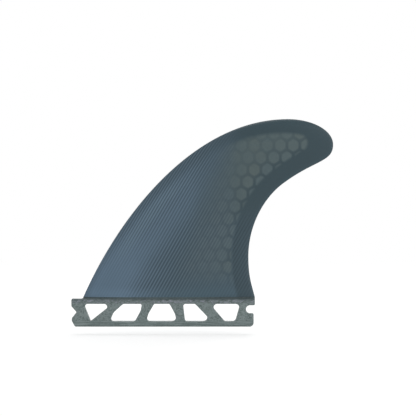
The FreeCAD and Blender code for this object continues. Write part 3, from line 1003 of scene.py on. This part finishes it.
def floor_material(stage):
    """Pale floor that keeps the soft shadow by the fin and is plain white further away."""
    shader = Shader("studio_floor", stage.floor_tint)
    matt = shader.node("ShaderNodeBsdfDiffuse", {"Color": opaque(shader.tint)})
    shown_tint = tuple(part * stage.shadow_strength for part in stage.floor_tint)
    shown = shader.node("ShaderNodeBsdfDiffuse", {"Color": opaque(shown_tint)})
    glow = shader.node("ShaderNodeEmission", {"Strength": stage.floor_glow})
    near = shader.node("ShaderNodeAddShader", {0: shown.outputs[0], 1: glow.outputs[0]})
    white = shader.node("ShaderNodeEmission", {"Strength": 1.0})
    far_off = shader.sum("SQRT", shader.across * shader.across + shader.depth * shader.depth)
    away = shader.rise(far_off, stage.shadow_reach, 2 * stage.shadow_reach)
    floor = shader.node("ShaderNodeMixShader", {0: away, 1: near.outputs[0], 2: white.outputs[0]})
    seen = shader.node("ShaderNodeMixShader",
                       {0: seen_directly(shader), 1: matt.outputs[0], 2: floor.outputs[0]})
    shader.node("ShaderNodeOutputMaterial", {"Surface": seen.outputs[0]})
    return shader.material


def make_floor(stage):
    half = stage.floor_size / 2
    mesh = bpy.data.meshes.new("studio_floor")
    level = -stage.floor_drop
    mesh.from_pydata([(-half, -half, level), (half, -half, level), (half, half, level),
                      (-half, half, level)], [], [(0, 1, 2, 3)])
    mesh.materials.append(floor_material(stage))
    floor = linked("studio_floor", mesh)


def make_world(stage):
    """Even studio light, and plain white where the camera or a reflection sees past the fin."""
    world = bpy.data.worlds.new("studio")
    world.use_nodes = True
    bpy.context.scene.world = world
    maker = Maker(world.node_tree)
    maker.clear()
    strength = stage.ambient + seen_directly(maker) * (1 - stage.ambient)
    light = maker.node("ShaderNodeBackground", {"Color": (1, 1, 1, 1), "Strength": strength})
    maker.node("ShaderNodeOutputWorld", {"Surface": light.outputs[0]})


# Softboxes: where each stands, its width and height, and the setting that holds its power
SOFTBOXES = {
    "key_softbox": ((0.9, -1.0, 0.4), (0.8, 0.8), "key_power"),
    "top_softbox": ((0.02, -0.02, 1.1), (0.9, 0.7), "top_power"),
    "rear_softbox": ((0.3, 1.1, 0.6), (0.8, 0.8), "rear_power"),
}
# The middle of the fin, which the softboxes face
LIT_PLACE = Vector((0.02, 0, 0.07))


def make_softboxes(stage):
    for name, (place, size, power_setting) in SOFTBOXES.items():
        light = bpy.data.lights.new(name, "AREA")
        light.shape = "RECTANGLE"
        light.size, light.size_y = size
        light.energy = getattr(stage, power_setting)
        lamp = linked(name, light)
        lamp.location = place
        lamp.rotation_euler = (LIT_PLACE - lamp.location).to_track_quat("-Z", "Y").to_euler()


# Width of the camera's sensor in mm, from which its lens follows
SENSOR_WIDTH = 36.0


def make_camera(stage):
    camera = bpy.data.cameras.new("camera")
    camera.sensor_width = SENSOR_WIDTH
    camera.lens = SENSOR_WIDTH * stage.view_distance / stage.view_width
    # Far enough to see the whole floor
    camera.clip_end = 4 * stage.floor_size
    view = linked("camera", camera)
    target = Vector((stage.view_across, 0, stage.view_level))
    back = Vector((0, -math.cos(stage.view_elevation), math.sin(stage.view_elevation)))
    view.location = target + back * stage.view_distance
    view.rotation_euler = (-back).to_track_quat("-Z", "Y").to_euler()
    bpy.context.scene.camera = view


# Operators

class FIN_OT_blade(bpy.types.Operator):
    """Build the laminated blade in place of the plain one"""

    bl_idname = "fin.blade"
    bl_label = "Laminated Blade"

    def execute(self, context):
        scene = context.scene
        material = laminate_material(scene.fin_laminate, scene.fin_core,
                                     scene.fin_blade.tip_drop)
        piece = make_blade(scene.fin_blade, scene.fin_core, material)
        if not piece.data.polygons:
            raise RuntimeError("the blade has no faces")
        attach(piece, "root")
        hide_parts("blade")
        return {"FINISHED"}


class FIN_OT_tab(bpy.types.Operator):
    """Finish the moulded base tab"""

    bl_idname = "fin.tab"
    bl_label = "Base Tab"

    def execute(self, context):
        dress("base_tab", tab_material(context.scene.fin_tab_look))
        return {"FINISHED"}


class FIN_OT_core(bpy.types.Operator):
    """Finish the core mat that lies inside the blade"""

    bl_idname = "fin.core"
    bl_label = "Core Mat"

    def execute(self, context):
        dress("hex_core", core_material(context.scene.fin_core_look))
        return {"FINISHED"}


class FIN_OT_stage(bpy.types.Operator):
    """Set up the floor, the lamps and the camera"""

    bl_idname = "fin.stage"
    bl_label = "Studio Stage"

    def execute(self, context):
        stage = context.scene.fin_stage
        context.scene.view_settings.view_transform = "Standard"
        make_floor(stage)
        make_world(stage)
        make_softboxes(stage)
        make_camera(stage)
        return {"FINISHED"}


class FIN_PT_panel(bpy.types.Panel):
    """Lists the steps that build the fin's finish"""

    bl_idname = "FIN_PT_panel"
    bl_label = "Surfboard Fin"
    bl_space_type = "VIEW_3D"
    bl_region_type = "UI"
    bl_category = "Fin"

    def draw(self, context):
        for step in STEPS:
            self.layout.operator(step.bl_idname)
        for name in SETTINGS:
            group = getattr(context.scene, name)
            box = self.layout.box()
            for field in group.__annotations__:
                box.prop(group, field, text=field.replace("_", " ").capitalize())


STEPS = (FIN_OT_stage, FIN_OT_blade, FIN_OT_tab, FIN_OT_core)
SETTINGS = {
    "fin_blade": FinBladeSizes,
    "fin_core": FinCoreSizes,
    "fin_laminate": FinLaminateLook,
    "fin_tab_look": FinTabLook,
    "fin_core_look": FinCoreLook,
    "fin_stage": FinStageSettings,
}
CLASSES = (*SETTINGS.values(), *STEPS, FIN_PT_panel)


def register():
    for item in CLASSES:
        bpy.utils.register_class(item)
    for name, group in SETTINGS.items():
        setattr(bpy.types.Scene, name, PointerProperty(type=group))


def unregister():
    for name in SETTINGS:
        delattr(bpy.types.Scene, name)
    for item in reversed(CLASSES):
        bpy.utils.unregister_class(item)


def main():
    register()
    bpy.ops.fin.stage()
    bpy.ops.fin.blade()
    bpy.ops.fin.tab()
    bpy.ops.fin.core()
    bpy.context.view_layer.update()


if __name__ == "__main__":
    main()
